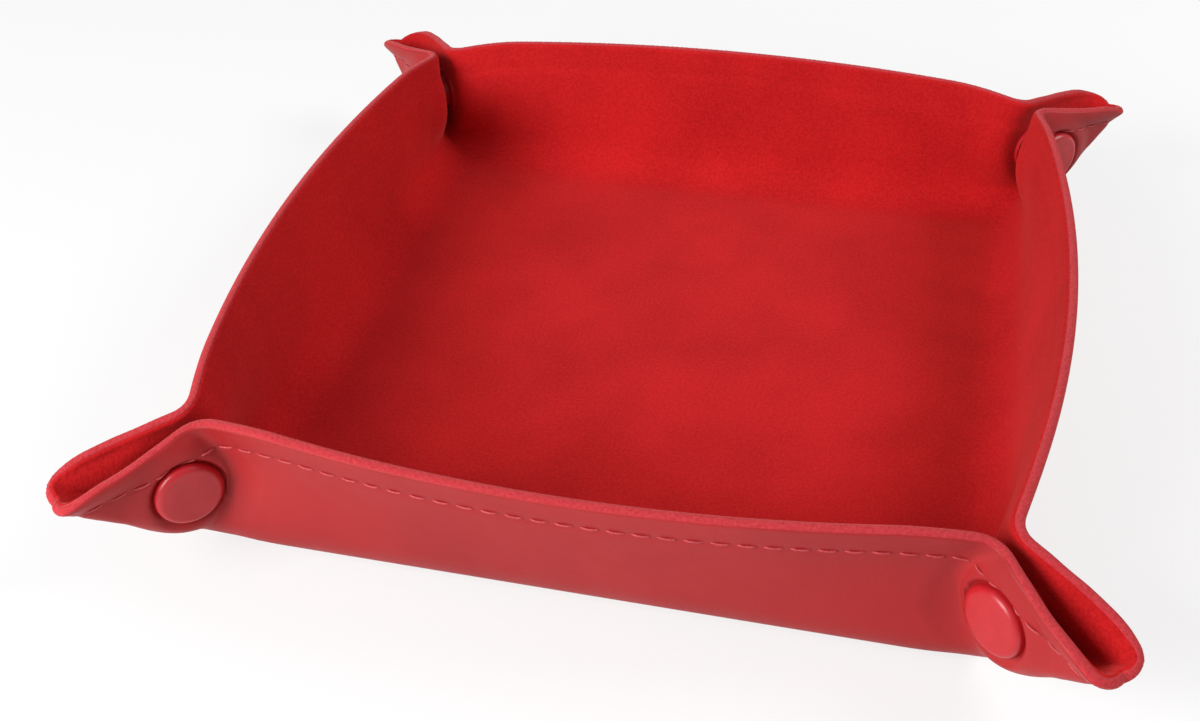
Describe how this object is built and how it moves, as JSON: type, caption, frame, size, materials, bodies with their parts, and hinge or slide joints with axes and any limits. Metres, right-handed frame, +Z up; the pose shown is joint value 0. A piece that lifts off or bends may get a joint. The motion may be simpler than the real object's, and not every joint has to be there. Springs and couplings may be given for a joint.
{
  "type": "dice tray",
  "caption": "Square two-layer sheet tray, smooth outside and velvet inside, whose four pinched corners are held by plastic snaps and fold open together.",
  "frame": {"origin": "centre of the flat underside", "axes": "+Z up out of the open bowl; +X to the right wall, +Y to the back wall"},
  "size_m": [0.181, 0.181, 0.0326],
  "materials": {
    "leather": "smooth coated cloth, satin",
    "velvet": "short cut pile",
    "thread": "twisted sewing thread",
    "snap": "moulded, glossy"
  },
  "bodies": {
    "base": {"leather_base": "leather", "velvet_base": "velvet"},
    "wall_right": {"leather_wall_right": "leather", "velvet_wall_right": "velvet", "stitching_wall_right": "thread"},
    "ear_right_back": {"leather_ear_right_back": "leather", "velvet_ear_right_back": "velvet", "stitching_ear_right_back": "thread", "snap_cap_right_back": "snap", "snap_stud_right_back": "snap"},
    "ear_right_front": {"leather_ear_right_front": "leather", "velvet_ear_right_front": "velvet", "stitching_ear_right_front": "thread", "snap_cap_right_front": "snap", "snap_stud_right_front": "snap"},
    "wall_back": {"leather_wall_back": "leather", "velvet_wall_back": "velvet", "stitching_wall_back": "thread"},
    "ear_back_left": {"leather_ear_back_left": "leather", "velvet_ear_back_left": "velvet", "stitching_ear_back_left": "thread", "snap_cap_back_left": "snap", "snap_socket_back_left": "snap"},
    "ear_back_right": {"leather_ear_back_right": "leather", "velvet_ear_back_right": "velvet", "stitching_ear_back_right": "thread", "snap_cap_back_right": "snap", "snap_socket_back_right": "snap"},
    "wall_left": {"leather_wall_left": "leather", "velvet_wall_left": "velvet", "stitching_wall_left": "thread"},
    "ear_left_front": {"leather_ear_left_front": "leather", "velvet_ear_left_front": "velvet", "stitching_ear_left_front": "thread", "snap_cap_left_front": "snap", "snap_stud_left_front": "snap"},
    "ear_left_back": {"leather_ear_left_back": "leather", "velvet_ear_left_back": "velvet", "stitching_ear_left_back": "thread", "snap_cap_left_back": "snap", "snap_stud_left_back": "snap"},
    "wall_front": {"leather_wall_front": "leather", "velvet_wall_front": "velvet", "stitching_wall_front": "thread"},
    "ear_front_right": {"leather_ear_front_right": "leather", "velvet_ear_front_right": "velvet", "stitching_ear_front_right": "thread", "snap_cap_front_right": "snap", "snap_socket_front_right": "snap"},
    "ear_front_left": {"leather_ear_front_left": "leather", "velvet_ear_front_left": "velvet", "stitching_ear_front_left": "thread", "snap_cap_front_left": "snap", "snap_socket_front_left": "snap"}
  },
  "joints": [
    {"name": "fold_right", "type": "hinge", "parent": "base", "child": "wall_right", "pos_m": [0.06974, 0, 0.00264], "axis": [0, 1, 0], "range_deg": [0, 60]},
    {"name": "ear_right_back_fold", "type": "hinge", "parent": "wall_right", "child": "ear_right_back", "pos_m": [0.06974, 0.06974, 0.00264], "axis": [-0.0519, -0.1226, 0.9911], "range_deg": [0, 17.53]},
    {"name": "ear_right_front_fold", "type": "hinge", "parent": "wall_right", "child": "ear_right_front", "pos_m": [0.06974, -0.06974, 0.00264], "axis": [0.0519, -0.1226, -0.9911], "range_deg": [0, 17.53]},
    {"name": "fold_back", "type": "hinge", "parent": "base", "child": "wall_back", "pos_m": [0, 0.06974, 0.00264], "axis": [-1, 0, 0], "range_deg": [0, 60]},
    {"name": "ear_back_left_fold", "type": "hinge", "parent": "wall_back", "child": "ear_back_left", "pos_m": [-0.06974, 0.06974, 0.00264], "axis": [0.1226, -0.0519, 0.9911], "range_deg": [0, 17.53]},
    {"name": "ear_back_right_fold", "type": "hinge", "parent": "wall_back", "child": "ear_back_right", "pos_m": [0.06974, 0.06974, 0.00264], "axis": [0.1226, 0.0519, -0.9911], "range_deg": [0, 17.53]},
    {"name": "fold_left", "type": "hinge", "parent": "base", "child": "wall_left", "pos_m": [-0.06974, 0, 0.00264], "axis": [0, -1, 0], "range_deg": [0, 60]},
    {"name": "ear_left_front_fold", "type": "hinge", "parent": "wall_left", "child": "ear_left_front", "pos_m": [-0.06974, -0.06974, 0.00264], "axis": [0.0519, 0.1226, 0.9911], "range_deg": [0, 17.53]},
    {"name": "ear_left_back_fold", "type": "hinge", "parent": "wall_left", "child": "ear_left_back", "pos_m": [-0.06974, 0.06974, 0.00264], "axis": [-0.0519, 0.1226, -0.9911], "range_deg": [0, 17.53]},
    {"name": "fold_front", "type": "hinge", "parent": "base", "child": "wall_front", "pos_m": [0, -0.06974, 0.00264], "axis": [1, 0, 0], "range_deg": [0, 60]},
    {"name": "ear_front_right_fold", "type": "hinge", "parent": "wall_front", "child": "ear_front_right", "pos_m": [0.06974, -0.06974, 0.00264], "axis": [-0.1226, 0.0519, 0.9911], "range_deg": [0, 17.53]},
    {"name": "ear_front_left_fold", "type": "hinge", "parent": "wall_front", "child": "ear_front_left", "pos_m": [-0.06974, -0.06974, 0.00264], "axis": [-0.1226, -0.0519, -0.9911], "range_deg": [0, 17.53]}
  ],
  "couplings": [
    {"joint": "ear_right_back_fold", "follows": "fold_right", "ratio": 0.2872},
    {"joint": "ear_right_front_fold", "follows": "fold_right", "ratio": 0.2872},
    {"joint": "fold_back", "follows": "fold_right", "ratio": 1},
    {"joint": "ear_back_left_fold", "follows": "fold_right", "ratio": 0.2872},
    {"joint": "ear_back_right_fold", "follows": "fold_right", "ratio": 0.2872},
    {"joint": "fold_left", "follows": "fold_right", "ratio": 1},
    {"joint": "ear_left_front_fold", "follows": "fold_right", "ratio": 0.2872},
    {"joint": "ear_left_back_fold", "follows": "fold_right", "ratio": 0.2872},
    {"joint": "fold_front", "follows": "fold_right", "ratio": 1},
    {"joint": "ear_front_right_fold", "follows": "fold_right", "ratio": 0.2872},
    {"joint": "ear_front_left_fold", "follows": "fold_right", "ratio": 0.2872}
  ]
}
